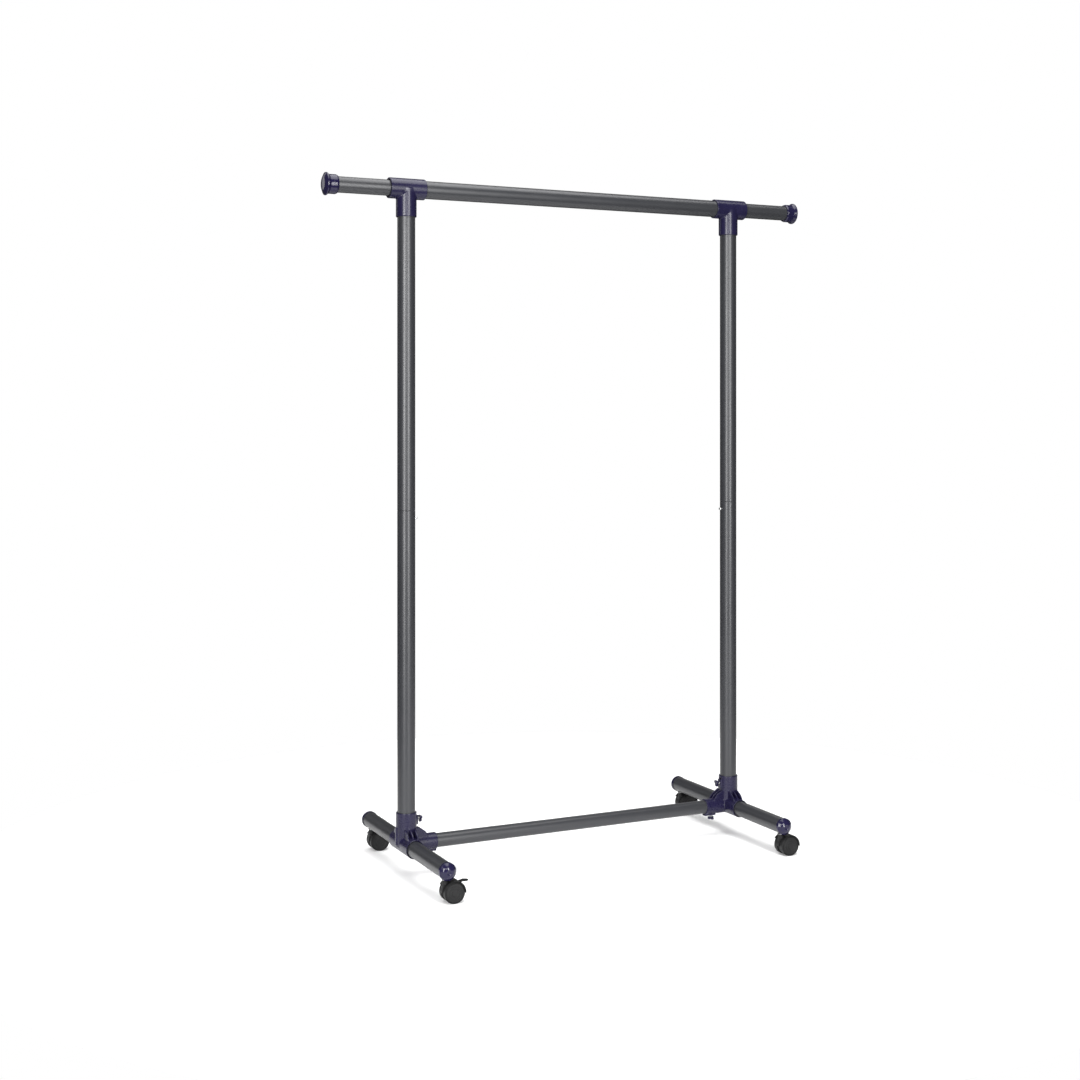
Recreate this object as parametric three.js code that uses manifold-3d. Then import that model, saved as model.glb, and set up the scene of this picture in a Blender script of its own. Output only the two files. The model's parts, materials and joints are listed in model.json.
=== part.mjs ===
// Rolling clothes rack: two posts joined by a telescopic top rail and a low crossbar,
// each post standing on a cross leg that runs on two swivelling twin-wheel casters.
// Millimetres, +Z up, X along the rail, -Y to the front. The origin is on the floor,
// midway between the posts. "left" is -X and "front" is -Y.

import * as THREE from 'three';
import { mergeVertices } from 'three/addons/utils/BufferGeometryUtils.js';
import Module from 'manifold-3d';

const wasm = await Module();
wasm.setup();

// ---------------------------------------------------------------- driving dimensions

const GAP = 0.3;                // clearance left between pieces that touch
const TUBE_SIDES = 20;          // facets round every tube and socket
const SMALL_SIDES = 12;         // facets round screws, stems and pins

const POST_SPACING = 800;       // between the post axes
const POST_R = 19;              // 38 mm tube: posts and main rail
const SLIM_R = 17;              // 34 mm tube: rail extensions and legs
const BAR_R = 15;               // 30 mm tube: crossbar
const WALL = 1;                 // wall of every tube

const RAIL_Z = 1454;            // axis of the rail
const LEG_Z = 66;               // axis of the legs and of the crossbar
const SEAM_Z = 773;             // joint between the two halves of a post

const TEE_HALF = 40;            // tee sleeve, from the post axis to its mouth
const TEE_DROP = 60;            // tee socket, from the rail axis to its mouth
const SOCKET_WALL = 2.7;        // wall of the plastic sockets
const MOUTH_BEVEL = 1.2;        // bevel round every socket mouth
const RAIL_RECESS = 5;          // rail end, inside the tee's outer mouth

const CAP_TIP_X = 585;          // tip of a rail end cap
const CAP_LENGTH = 31;          // rail end cap, sleeve edge to dome tip
const CAP_SLEEVE_R = 20.5;
const CAP_FLANGE_R = 24;
const EXTENSION_LENGTH = 420;

const SPIGOT_LENGTH = 70;       // swaged end of the upper post inside the lower post
const BUTTON_DROP = 17;         // snap button, below the seam
const BUTTON_R = 3.4;
const BUTTON_HOLE_R = 4.2;
const BUTTON_PROUD = 5.2;       // button, out of the post surface
const LEAF_LENGTH = 44;         // spring leaf, from its bend to the button
const LEAF_TOP = 7;             // spring leaf, above the button's axis
const LEAF_THICK = 0.8;
const LEAF_WIDTH = 9;

const LEG_END_Y = 232;          // end of a leg tube
const LEG_CAP_R = 18.2;
const LEG_CAP_SKIRT = 4.5;      // cap, over the tube
const LEG_CAP_DOME = 11;        // cap, past the tube end
const SLEEVE_HALF = 53;         // leg sleeve of the base connector
const POST_SOCKET_TOP = 68;     // post socket mouth, above the leg axis
const BAR_SOCKET_MOUTH = 66;    // crossbar socket mouth, from the post axis

const SCREW_R = 2.5;            // M5 clamping screws
const POST_SCREW_UP = 52;       // post screw, above the leg axis
const BAR_SCREW_OUT = 46;       // crossbar screw, from the post axis
const BOSS_TIP = 24.6;          // outer face of a post screw boss, from the post axis
const BOSS_HALF = 6.5;
const BOSS_EDGE = 8;            // boss, past the screw axis
const BOSS_BELOW = 12;          // post screw boss, below the screw axis
const NUT_HALF = 4;             // 8 mm square nut
const NUT_THICK = 2.4;
const KNOB_MEAN_R = 6.3;        // three-lobed knob
const KNOB_LOBE = 2.1;
const KNOB_THICK = 6;
const KNOB_BEVEL = 1;
const KNOB_STANDOFF = 2.5;      // shank showing between a boss and its knob
const LOBE_STEPS = 18;

const STEM_Y = 219;             // caster stems, from the rail plane
const TRAIL = 15;               // caster axle, behind its stem
const WHEEL_R = 22;
const WHEEL_SIDES = 20;
const WHEEL_IN = 5.3;           // inner and outer faces of a wheel, from the caster's middle
const WHEEL_OUT = 17.5;
const AXLE_Z = WHEEL_R * Math.cos(Math.PI / WHEEL_SIDES);   // a flat of the tread is on the floor
const AXLE_R = 3;
const AXLE_HALF = 14;           // half length of an axle
const STEM_R = 3.5;
const COLLAR_R = 6.5;           // stem collar, and the hood boss under it
const COLLAR_THICK = 0.6;
const FLANGE_THICK = 1.1;       // flange of a stem socket, under the leg
const HOOD_R = 24.1;
const HOOD_SKIN = 1.4;
const WEB_HALF = 5;             // half width of the hood's middle web
const WEB_R = 19.5;             // the web's disc between the wheels
const WEB_STEPS = 14;
const HOOD_LOW = -5;            // hood, lowest angle at the trailing side, in degrees
const HOOD_HIGH = 148;          // hood, edge over the leading side, in degrees
const HOOD_STEPS = 10;

// ---------------------------------------------------------------- materials

const coated = new THREE.MeshStandardMaterial({ color: 0x4b4c50, metalness: 0.55, roughness: 0.42 });
const navy = new THREE.MeshStandardMaterial({ color: 0x2c2650, metalness: 0, roughness: 0.22 });
const black = new THREE.MeshStandardMaterial({ color: 0x262628, metalness: 0, roughness: 0.55 });
const zinc = new THREE.MeshStandardMaterial({ color: 0xb9bbbd, metalness: 0.9, roughness: 0.3 });
const clear = new THREE.MeshStandardMaterial({ color: 0xd8d8d2, metalness: 0, roughness: 0.6 });

// ---------------------------------------------------------------- shape helpers

const UP = new THREE.Vector3(0, 0, 1);
const ALONG = {
  x: new THREE.Vector3(1, 0, 0),
  y: new THREE.Vector3(0, 1, 0),
  back: new THREE.Vector3(-1, 0, 0),
  down: new THREE.Vector3(0, 0, -1),
};

// Closed mesh with its shared vertices merged and empty triangles dropped.
function welded(geometry) {
  const bare = geometry.index ? geometry.clone() : mergeVertices(geometry);
  bare.deleteAttribute('normal');
  bare.deleteAttribute('uv');
  const merged = mergeVertices(bare, 1e-4);
  const kept = [];
  const index = merged.index.array;
  for (let i = 0; i < index.length; i += 3) {
    const [a, b, c] = [index[i], index[i + 1], index[i + 2]];
    if (a !== b && b !== c && c !== a) kept.push(a, b, c);
  }
  merged.setIndex(kept);
  return merged;
}

function solid(geometry) {
  const closed = welded(geometry);
  return new wasm.Manifold(new wasm.Mesh({
    numProp: 3,
    vertProperties: new Float32Array(closed.attributes.position.array),
    triVerts: new Uint32Array(closed.index.array),
  }));
}

function surface(shape) {
  const mesh = shape.getMesh();
  const geometry = new THREE.BufferGeometry();
  geometry.setAttribute('position', new THREE.BufferAttribute(mesh.vertProperties, 3));
  geometry.setIndex(new THREE.BufferAttribute(mesh.triVerts, 1));
  return geometry;
}

// Turned shape about +Z from [radius, height] corners, listed from the bottom up the outside.
function turned(corners, sides = TUBE_SIDES) {
  const outline = corners.map(([r, h]) => new THREE.Vector2(r, h));
  return new THREE.LatheGeometry(outline, sides).rotateX(Math.PI / 2);
}

function rod(radius, from, to, sides = TUBE_SIDES) {
  return turned([[0, from], [radius, from], [radius, to], [0, to]], sides);
}

// Rod with both rims bevelled.
function bevelledRod(radius, from, to, bevel, sides = TUBE_SIDES) {
  const inner = radius - bevel;
  return turned([
    [0, from], [inner, from], [radius, from + bevel], [radius, to - bevel], [inner, to], [0, to],
  ], sides);
}

function tube(outer, inner, from, to, sides = TUBE_SIDES) {
  return turned([[inner, from], [outer, from], [outer, to], [inner, to], [inner, from]], sides);
}

function box(from, to) {
  const size = to.map((high, i) => high - from[i]);
  const middle = to.map((high, i) => (high + from[i]) / 2);
  return new THREE.BoxGeometry(...size).translate(...middle);
}

// Turns a shape made about +Z to point along another direction.
function pointed(geometry, direction) {
  const turn = new THREE.Quaternion().setFromUnitVectors(UP, ALONG[direction]);
  return geometry.clone().applyQuaternion(turn);
}

// Plate from an outline of [across, up] corners in the XZ plane, centred on y.
function plateXZ(corners, y, thick) {
  const outline = new THREE.Shape(corners.map(([x, z]) => new THREE.Vector2(x, z)));
  const plate = new THREE.ExtrudeGeometry(outline, { depth: thick, bevelEnabled: false });
  return plate.rotateX(Math.PI / 2).translate(0, y + thick / 2, 0);
}

// Plate from an outline of [along y, up] corners in the YZ plane, centred on x.
function plateYZ(corners, x, thick) {
  return plateXZ(corners, 0, thick).rotateZ(Math.PI / 2).translate(x, 0, 0);
}

function joined(...geometries) {
  return geometries.map(solid).reduce((sum, next) => sum.add(next));
}

function cutBy(shape, ...geometries) {
  return geometries.map(solid).reduce((rest, next) => rest.subtract(next), shape);
}

function radians(degrees) {
  return THREE.MathUtils.degToRad(degrees);
}

// ---------------------------------------------------------------- assembly helpers

const rack = new THREE.Group();

function piece(parent, name, geometry, material, place = [0, 0, 0]) {
  const mesh = new THREE.Mesh(geometry, material);
  mesh.name = name;
  mesh.position.set(...place);
  parent.add(mesh);
  return mesh;
}

// ---------------------------------------------------------------- top rail

const RAIL_END = POST_SPACING / 2 + TEE_HALF - RAIL_RECESS;
const CAP_EDGE = CAP_TIP_X - CAP_LENGTH;
const CAP_SEAT = 18;            // depth of the bore that holds the extension tube
const EXTENSION_END = CAP_EDGE + CAP_SEAT - GAP;
const EXTENSION_START = EXTENSION_END - EXTENSION_LENGTH;
const GLIDE_HEAD = 8;           // lengths of a glide's head and of its plug in the extension
const GLIDE_PLUG = 14;

function mainRail() {
  return pointed(tube(POST_R, POST_R - WALL, -RAIL_END, RAIL_END), 'x');
}

function railExtension() {
  return pointed(tube(SLIM_R, SLIM_R - WALL, EXTENSION_START, EXTENSION_END), 'back');
}

// Plug pressed into the inner end of an extension; its head runs inside the main rail.
function glidePlug() {
  const plugR = SLIM_R - WALL - GAP;
  const headR = POST_R - WALL - 0.25;
  const holeR = 6;
  const head = EXTENSION_START - GAP;
  const inner = head - GLIDE_HEAD;
  const outer = head + GLIDE_PLUG;
  return pointed(turned([
    [holeR, inner], [headR, inner], [headR, head],
    [plugR, head], [plugR, outer], [holeR, outer], [holeR, inner],
  ]), 'back');
}

function railEndCap() {
  const boreR = SLIM_R + GAP;
  return pointed(turned([
    [boreR, 0], [CAP_SLEEVE_R - 1.2, 0], [CAP_SLEEVE_R, 3], [CAP_SLEEVE_R, 19],
    [CAP_FLANGE_R, 22.5], [CAP_FLANGE_R, 25], [15, 29.5],
    [0, CAP_LENGTH], [0, CAP_SEAT], [boreR, CAP_SEAT], [boreR, 0],
  ]).translate(0, 0, CAP_EDGE), 'back');
}

const TEE_R = POST_R + GAP + SOCKET_WALL;
const POST_TOP = RAIL_Z - TEE_R - GAP;

function tee() {
  const boreR = POST_R + GAP;
  const body = joined(
    pointed(bevelledRod(TEE_R, -TEE_HALF, TEE_HALF, MOUTH_BEVEL), 'x'),
    bevelledRod(TEE_R, -TEE_DROP, 0, MOUTH_BEVEL),
  );
  const shape = cutBy(
    body,
    pointed(rod(boreR, -TEE_HALF - 1, TEE_HALF + 1), 'x'),
    rod(boreR, -TEE_DROP - 1, -TEE_R),
  );
  return surface(shape);
}

// ---------------------------------------------------------------- posts and snap buttons

const SPIGOT_R = POST_R - WALL - GAP;
const BUTTON_Z = SEAM_Z - BUTTON_DROP;
const LOWER_POST_FOOT = LEG_Z + SLIM_R + GAP + SOCKET_WALL + GAP;

function buttonHole() {
  return pointed(rod(BUTTON_HOLE_R, 0, POST_R + 5, SMALL_SIDES), 'x').translate(0, 0, BUTTON_Z);
}

// Full-width tube with a narrower spigot below the seam.
function upperPost() {
  const inner = POST_R - WALL;
  const body = solid(turned([
    [SPIGOT_R - WALL, SEAM_Z - SPIGOT_LENGTH], [SPIGOT_R, SEAM_Z - SPIGOT_LENGTH],
    [SPIGOT_R, SEAM_Z], [POST_R - 0.5, SEAM_Z], [POST_R, SEAM_Z + 0.8], [POST_R, POST_TOP],
    [inner, POST_TOP], [inner, SEAM_Z + 5], [SPIGOT_R - WALL, SEAM_Z + 2],
    [SPIGOT_R - WALL, SEAM_Z - SPIGOT_LENGTH],
  ]));
  return surface(cutBy(body, buttonHole()));
}

function lowerPost() {
  const body = solid(tube(POST_R, POST_R - WALL, LOWER_POST_FOOT, SEAM_Z - GAP));
  return surface(cutBy(body, buttonHole()));
}

const LEAF_X = SPIGOT_R - WALL - 1.2;        // outer face of the spring leaf
const BEND_Z = BUTTON_Z - LEAF_LENGTH;

// Button riveted to the free leaf of its spring clip.
function snapButton() {
  const tip = POST_R + BUTTON_PROUD;
  const leaf = box(
    [LEAF_X - LEAF_THICK, -LEAF_WIDTH / 2, BEND_Z],
    [LEAF_X, LEAF_WIDTH / 2, BUTTON_Z + LEAF_TOP],
  );
  const button = pointed(turned([
    [0, LEAF_X - LEAF_THICK / 2], [BUTTON_R, LEAF_X - LEAF_THICK / 2], [BUTTON_R, tip - 2],
    [BUTTON_R * 0.6, tip - 0.5], [0, tip],
  ], SMALL_SIDES), 'x').translate(0, 0, BUTTON_Z);
  return surface(joined(leaf, button));
}

// U-shaped clip: a leaf along the far wall and a foot that reaches the bend of the free leaf.
function buttonSpring() {
  const half = LEAF_WIDTH / 2;
  const backX = 1 - (SPIGOT_R - WALL);
  const footZ = BEND_Z - 2;
  return surface(joined(
    box([backX, -half, footZ], [backX + LEAF_THICK, half, BUTTON_Z + LEAF_TOP]),
    box([backX, -half, footZ], [LEAF_X, half, footZ + LEAF_THICK]),
    box([LEAF_X - LEAF_THICK, -half, footZ], [LEAF_X, half, BEND_Z - GAP]),
  ));
}

// ---------------------------------------------------------------- base connector

const SLEEVE_R = SLIM_R + GAP + SOCKET_WALL;
const BAR_SOCKET_R = BAR_R + GAP + 2.4;
const BAR_STOP = 24;            // blind end of the crossbar socket, from the post axis
const GUSSET_REACH = 45;
const GUSSET_RISE = 38.5;
const GUSSET_THICK = 2.8;
const GUSSET_OFFSETS = [-10.5, 0, 10.5];
const GUSSET_FOOT = 12;         // height of a web at its far end
const FIN_REACH = 24.4;         // short fin on the side away from the crossbar
const FIN_HALF = 3;
const FIN_TOP = 37;
const ARC_STEPS = 6;

// Web outline with a convex quarter-round edge from [0, rise] to [reach, foot].
function gussetOutline(reach, rise, foot) {
  const corners = [[0, 0], [reach, 0]];
  for (let i = 0; i <= ARC_STEPS; i += 1) {
    const angle = (Math.PI / 2) * (1 - i / ARC_STEPS);
    corners.push([reach * Math.sin(angle), foot + (rise - foot) * Math.cos(angle)]);
  }
  return corners;
}

const BAR_BOSS_TIP = BAR_SOCKET_R + 2.8;
const NUT_SEAT = 0.6;           // wall between a socket bore and its nut

function baseConnector() {
  const web = gussetOutline(GUSSET_REACH, GUSSET_RISE, GUSSET_FOOT);
  const webs = [];
  for (const offset of GUSSET_OFFSETS) {
    webs.push(plateXZ(web, offset, GUSSET_THICK));
    webs.push(plateYZ(web, offset, GUSSET_THICK));
    webs.push(plateYZ(web, -offset, GUSSET_THICK).rotateZ(Math.PI));
  }
  const bossZ = POST_SCREW_UP;
  const body = joined(
    bevelledRod(TEE_R, -4, POST_SOCKET_TOP, MOUTH_BEVEL),
    pointed(bevelledRod(SLEEVE_R, -SLEEVE_HALF, SLEEVE_HALF, MOUTH_BEVEL), 'y'),
    pointed(bevelledRod(BAR_SOCKET_R, 0, BAR_SOCKET_MOUTH, MOUTH_BEVEL), 'x'),
    box([-FIN_REACH, -FIN_HALF, 0], [-POST_R, FIN_HALF, FIN_TOP]),
    box([POST_R, -BOSS_HALF, bossZ - BOSS_BELOW], [BOSS_TIP, BOSS_HALF, bossZ + BOSS_EDGE]),
    box([BAR_SCREW_OUT - BOSS_EDGE, -BOSS_HALF, -BAR_BOSS_TIP], [BAR_SOCKET_MOUTH, BOSS_HALF, -BAR_R]),
    ...webs,
  );
  const postBoreR = POST_R + GAP;
  const barBoreR = BAR_R + GAP;
  const nutR = NUT_HALF + GAP;
  const postNutX = postBoreR + NUT_SEAT;
  const barNutZ = barBoreR + NUT_SEAT;
  const slot = NUT_THICK + 2 * GAP;
  const shape = cutBy(
    body,
    rod(postBoreR, LOWER_POST_FOOT - LEG_Z - GAP, POST_SOCKET_TOP + 1),
    pointed(rod(SLIM_R + GAP, -SLEEVE_HALF - 1, SLEEVE_HALF + 1), 'y'),
    pointed(rod(barBoreR, BAR_STOP, BAR_SOCKET_MOUTH + 1), 'x'),
    pointed(rod(SCREW_R + GAP, POST_R - 2, BOSS_TIP + 1, SMALL_SIDES), 'x').translate(0, 0, bossZ),
    pointed(rod(SCREW_R + GAP, BAR_R - 2, BAR_BOSS_TIP + 1, SMALL_SIDES), 'down')
      .translate(BAR_SCREW_OUT, 0, 0),
    box([postNutX, -nutR, bossZ - nutR], [postNutX + slot, nutR, bossZ + BOSS_EDGE + 1]),
    box([BAR_SCREW_OUT - nutR, -nutR, -barNutZ - slot], [BAR_SOCKET_MOUTH + 1, nutR, -barNutZ]),
  );
  return surface(shape);
}

// ---------------------------------------------------------------- clamping screws and nuts

// Square nut, bored along +Z, lying from z = 0 up.
function squareNut() {
  const body = solid(box([-NUT_HALF, -NUT_HALF, 0], [NUT_HALF, NUT_HALF, NUT_THICK]));
  return surface(cutBy(body, rod(SCREW_R + GAP, -1, NUT_THICK + 1, SMALL_SIDES)));
}

// Screw along +Z with its tip at z = 0 and a three-lobed knob on top.
function knobScrew(shank) {
  const lobes = [];
  for (let i = 0; i < LOBE_STEPS; i += 1) {
    const angle = (i / LOBE_STEPS) * 2 * Math.PI;
    const r = KNOB_MEAN_R + KNOB_LOBE * Math.cos(3 * angle);
    lobes.push(new THREE.Vector2(r * Math.cos(angle), r * Math.sin(angle)));
  }
  const head = new THREE.ExtrudeGeometry(new THREE.Shape(lobes), {
    depth: KNOB_THICK - 2 * KNOB_BEVEL,
    bevelThickness: KNOB_BEVEL,
    bevelSize: KNOB_BEVEL,
    bevelOffset: -KNOB_BEVEL,
    bevelSegments: 1,
  }).translate(0, 0, shank + 2 * KNOB_BEVEL);
  const overlap = shank + 3 * KNOB_BEVEL;
  return surface(joined(
    rod(SCREW_R, 0, overlap, SMALL_SIDES),
    rod(SCREW_R + 1.3, shank, overlap, SMALL_SIDES),
    head,
  ));
}

// ---------------------------------------------------------------- legs

const SOCKET_HOLE_R = 5.3;

function leg() {
  const body = solid(pointed(tube(SLIM_R, SLIM_R - WALL, -LEG_END_Y, LEG_END_Y), 'y'));
  const holes = [-STEM_Y, STEM_Y].map(
    (y) => rod(SOCKET_HOLE_R, -SLIM_R - 1, 0, SMALL_SIDES).translate(0, y, 0),
  );
  return surface(cutBy(body, ...holes));
}

// Domed cap that slips over the end of a leg, made about +Z with the tube end at z = 0.
function legCap() {
  const boreR = SLIM_R + GAP;
  return turned([
    [boreR, -LEG_CAP_SKIRT], [LEG_CAP_R, -LEG_CAP_SKIRT], [LEG_CAP_R, 2],
    [12, LEG_CAP_DOME - 2], [0, LEG_CAP_DOME],
    [0, GAP], [boreR, GAP], [boreR, -LEG_CAP_SKIRT],
  ]);
}

// ---------------------------------------------------------------- casters

const STEM_TOP = LEG_Z + 10;
const SOCKET_FOOT = LEG_Z - SLIM_R - GAP - FLANGE_THICK;
const HOOD_TOP = SOCKET_FOOT - GAP - COLLAR_THICK - GAP;
const STEM_FOOT = AXLE_Z + 2;

// Bushing pressed up into the leg from below.
function stemSocket() {
  const bore = STEM_R + GAP;
  const flange = SOCKET_FOOT + FLANGE_THICK;
  const top = STEM_TOP + 2;
  return turned([
    [bore, SOCKET_FOOT], [7.5, SOCKET_FOOT], [7.5, flange], [SOCKET_HOLE_R - GAP, flange],
    [SOCKET_HOLE_R - GAP, top], [bore, top], [bore, SOCKET_FOOT],
  ], SMALL_SIDES);
}

// Steel stem with a collar that carries the hood.
function stem() {
  const collar = HOOD_TOP + GAP;
  const above = collar + COLLAR_THICK;
  return turned([
    [0, STEM_FOOT], [STEM_R, STEM_FOOT], [STEM_R, collar], [COLLAR_R, collar], [COLLAR_R, above],
    [STEM_R, above], [STEM_R, STEM_TOP - 2], [STEM_R - 1, STEM_TOP], [0, STEM_TOP],
  ], SMALL_SIDES);
}

const PIVOT = [15, 37 - AXLE_Z];        // brake pivot, from the axle
const PIVOT_R = 1.6;
const TRUNNION = WEB_HALF - 0.9;        // half span of the lever's two trunnions
const LEVER_HALF = 2.6;
const PADDLE_MIDDLE = 26;
const PADDLE_TIP = 35;
const PADDLE_HALF = 8;
const PADDLE_FOOT = 18.2;               // underside of the paddle, above the axle
const PADDLE_THICK = 2.4;
const PADDLE_STEPS = 20;

// Hood about the axle at the origin: a skin over both treads on one middle web.
function hood(braked) {
  const skinArc = (radius) => {
    const points = [];
    for (let i = 0; i <= HOOD_STEPS; i += 1) {
      const angle = radians(HOOD_LOW + ((HOOD_HIGH - HOOD_LOW) * i) / HOOD_STEPS);
      points.push([radius * Math.cos(angle), radius * Math.sin(angle)]);
    }
    return points;
  };
  const skin = [...skinArc(HOOD_R), ...skinArc(HOOD_R - HOOD_SKIN).reverse()];
  const lead = -TRAIL - COLLAR_R + 0.5;
  const web = [[HOOD_R - 1, 0], [19, 13], [9, 21], [-8, 21], [lead, 13], [lead, -1]];
  for (let i = 0; i <= WEB_STEPS; i += 1) {
    const angle = radians(190 + (160 * i) / WEB_STEPS);
    web.push([WEB_R * Math.cos(angle), WEB_R * Math.sin(angle)]);
  }
  const hoodTop = HOOD_TOP - AXLE_Z;
  const wheelRoom = rod(WHEEL_R + 0.7, WHEEL_IN - GAP, WHEEL_OUT + 1, WHEEL_SIDES);
  const cuts = [
    pointed(wheelRoom, 'y'),
    pointed(wheelRoom, 'y').rotateZ(Math.PI),
    rod(STEM_R + GAP, STEM_FOOT - AXLE_Z - GAP, hoodTop + 1, SMALL_SIDES).translate(-TRAIL, 0, 0),
    pointed(rod(AXLE_R + GAP, -WEB_HALF - 1, WEB_HALF + 1, SMALL_SIDES), 'y'),
  ];
  if (braked) {
    const slot = LEVER_HALF + GAP;
    const trunnionRoom = pointed(rod(PIVOT_R + GAP, -TRUNNION - GAP, TRUNNION + GAP, SMALL_SIDES), 'y');
    cuts.push(
      box([8.5, -slot, 7], [HOOD_R + 1, slot, HOOD_R + 2]),
      trunnionRoom.translate(PIVOT[0], 0, PIVOT[1]),
    );
  }
  const body = joined(
    plateXZ(skin, 0, 2 * WHEEL_OUT),
    plateXZ(web, 0, 2 * WEB_HALF),
    rod(COLLAR_R, 8, hoodTop, SMALL_SIDES).translate(-TRAIL, 0, 0),
  );
  return surface(cutBy(body, ...cuts));
}

// Brake lever about the axle: a foot in the web, two short trunnions and a pointed paddle.
function brakeLever() {
  const arm = [
    [PIVOT[0] - 5, PIVOT[1] - 6], [PIVOT[0] + 2.5, PIVOT[1] - 3], [21, 16.5],
    [22, 19.5], [16, 19.2], [PIVOT[0] - 2.5, PIVOT[1] + 2.5],
  ];
  const reach = PADDLE_TIP - PADDLE_MIDDLE;
  const blade = [];
  for (let i = 0; i < PADDLE_STEPS; i += 1) {
    const angle = (i / PADDLE_STEPS) * 2 * Math.PI;
    const side = Math.sin(angle);
    const across = PADDLE_HALF * side * Math.abs(side) ** 0.3;
    blade.push(new THREE.Vector2(PADDLE_MIDDLE + reach * Math.cos(angle), across));
  }
  const paddle = new THREE.ExtrudeGeometry(new THREE.Shape(blade), {
    depth: PADDLE_THICK,
    bevelEnabled: false,
  }).translate(0, 0, PADDLE_FOOT);
  const trunnion = pointed(rod(PIVOT_R, -TRUNNION, TRUNNION, SMALL_SIDES), 'y');
  return surface(joined(
    plateXZ(arm, 0, 2 * LEVER_HALF),
    trunnion.translate(PIVOT[0], 0, PIVOT[1]),
    paddle,
  ));
}

function axle() {
  return pointed(rod(AXLE_R, -AXLE_HALF, AXLE_HALF, SMALL_SIDES), 'y');
}

// Wheel with a blind bore, made about +Z from its inner face at z = 0 outwards.
function wheel() {
  const width = WHEEL_OUT - WHEEL_IN;
  const boreR = AXLE_R + GAP;
  const boreEnd = AXLE_HALF + GAP - WHEEL_IN;
  return turned([
    [boreR, 0], [WHEEL_R, 0], [WHEEL_R, width - 2], [WHEEL_R - 2.5, width],
    [0, width], [0, boreEnd], [boreR, boreEnd], [boreR, 0],
  ], WHEEL_SIDES).rotateZ(Math.PI / WHEEL_SIDES);
}

// ---------------------------------------------------------------- putting it together

piece(rack, 'main_rail', mainRail(), coated, [0, 0, RAIL_Z]);
const barEnd = POST_SPACING / 2 - BAR_STOP - GAP;
const crossbar = pointed(tube(BAR_R, BAR_R - WALL, -barEnd, barEnd), 'x');
piece(rack, 'crossbar', crossbar, coated, [0, 0, LEG_Z]);

// One side, drawn as the left one: everything about its post. The right side is the same
// set of pieces turned half a turn about the middle of the rack.
for (const [side, turn] of [['left', 0], ['right', Math.PI]]) {
  const half = new THREE.Group();
  half.rotation.z = turn;
  rack.add(half);
  const postX = -POST_SPACING / 2;

  piece(half, `rail_extension_${side}`, railExtension(), coated, [0, 0, RAIL_Z]);
  piece(half, `extension_glide_${side}`, glidePlug(), clear, [0, 0, RAIL_Z]);
  piece(half, `rail_end_cap_${side}`, railEndCap(), navy, [0, 0, RAIL_Z]);
  piece(half, `tee_${side}`, tee(), navy, [postX, 0, RAIL_Z]);

  piece(half, `upper_post_${side}`, upperPost(), coated, [postX, 0, 0]);
  piece(half, `lower_post_${side}`, lowerPost(), coated, [postX, 0, 0]);
  piece(half, `snap_button_${side}`, snapButton(), zinc, [postX, 0, 0]);
  piece(half, `button_spring_${side}`, buttonSpring(), zinc, [postX, 0, 0]);

  piece(half, `base_connector_${side}`, baseConnector(), navy, [postX, 0, LEG_Z]);
  piece(half, `leg_${side}`, leg(), coated, [postX, 0, LEG_Z]);

  const postNutX = POST_R + NUT_SEAT + 2 * GAP;
  const postNut = piece(half, `post_nut_${side}`, squareNut(), zinc);
  postNut.position.set(postX + postNutX, 0, LEG_Z + POST_SCREW_UP);
  postNut.rotation.y = Math.PI / 2;
  const postShank = BOSS_TIP - POST_R + KNOB_STANDOFF;
  const postScrew = piece(half, `post_screw_${side}`, knobScrew(postShank), navy);
  postScrew.position.set(postX + POST_R + GAP, 0, LEG_Z + POST_SCREW_UP);
  postScrew.rotation.y = Math.PI / 2;

  const barNutZ = BAR_R + NUT_SEAT + 2 * GAP;
  const barNut = piece(half, `crossbar_nut_${side}`, squareNut(), zinc);
  barNut.position.set(postX + BAR_SCREW_OUT, 0, LEG_Z - barNutZ);
  barNut.rotation.x = Math.PI;
  const barShank = BAR_BOSS_TIP - BAR_R + KNOB_STANDOFF;
  const barScrew = piece(half, `crossbar_screw_${side}`, knobScrew(barShank), navy);
  barScrew.position.set(postX + BAR_SCREW_OUT, 0, LEG_Z - BAR_R - GAP);
  barScrew.rotation.x = Math.PI;
}

for (const [row, rowSign] of [['front', -1], ['rear', 1]]) {
  for (const [side, sideSign] of [['left', -1], ['right', 1]]) {
    const corner = `${row}_${side}`;
    const stemX = (sideSign * POST_SPACING) / 2;
    const stemY = rowSign * STEM_Y;
    const braked = corner === 'front_left' || corner === 'rear_right';

    const cap = piece(rack, `leg_cap_${corner}`, legCap(), navy, [stemX, rowSign * LEG_END_Y, LEG_Z]);
    cap.rotation.x = (-rowSign * Math.PI) / 2;

    piece(rack, `stem_socket_${corner}`, stemSocket(), black, [stemX, stemY, 0]);
    piece(rack, `caster_stem_${corner}`, stem(), zinc, [stemX, stemY, 0]);

    const caster = new THREE.Group();
    caster.position.set(stemX + TRAIL, stemY, AXLE_Z);
    rack.add(caster);
    piece(caster, `caster_hood_${corner}`, hood(braked), black);
    piece(caster, `caster_axle_${corner}`, axle(), zinc);
    if (braked) piece(caster, `brake_lever_${corner}`, brakeLever(), black);
    for (const [end, endSign] of [['outer', rowSign], ['inner', -rowSign]]) {
      const disc = piece(caster, `wheel_${end}_${corner}`, wheel(), black, [0, endSign * WHEEL_IN, 0]);
      disc.rotation.x = (-endSign * Math.PI) / 2;
    }
  }
}

export default rack;
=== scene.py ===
"""Looks of a rolling clothes rack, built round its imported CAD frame. Metres, +Z up, -Y to the front."""

import json
import math

import bpy
import numpy as np
from mathutils import Matrix, Vector


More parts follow.
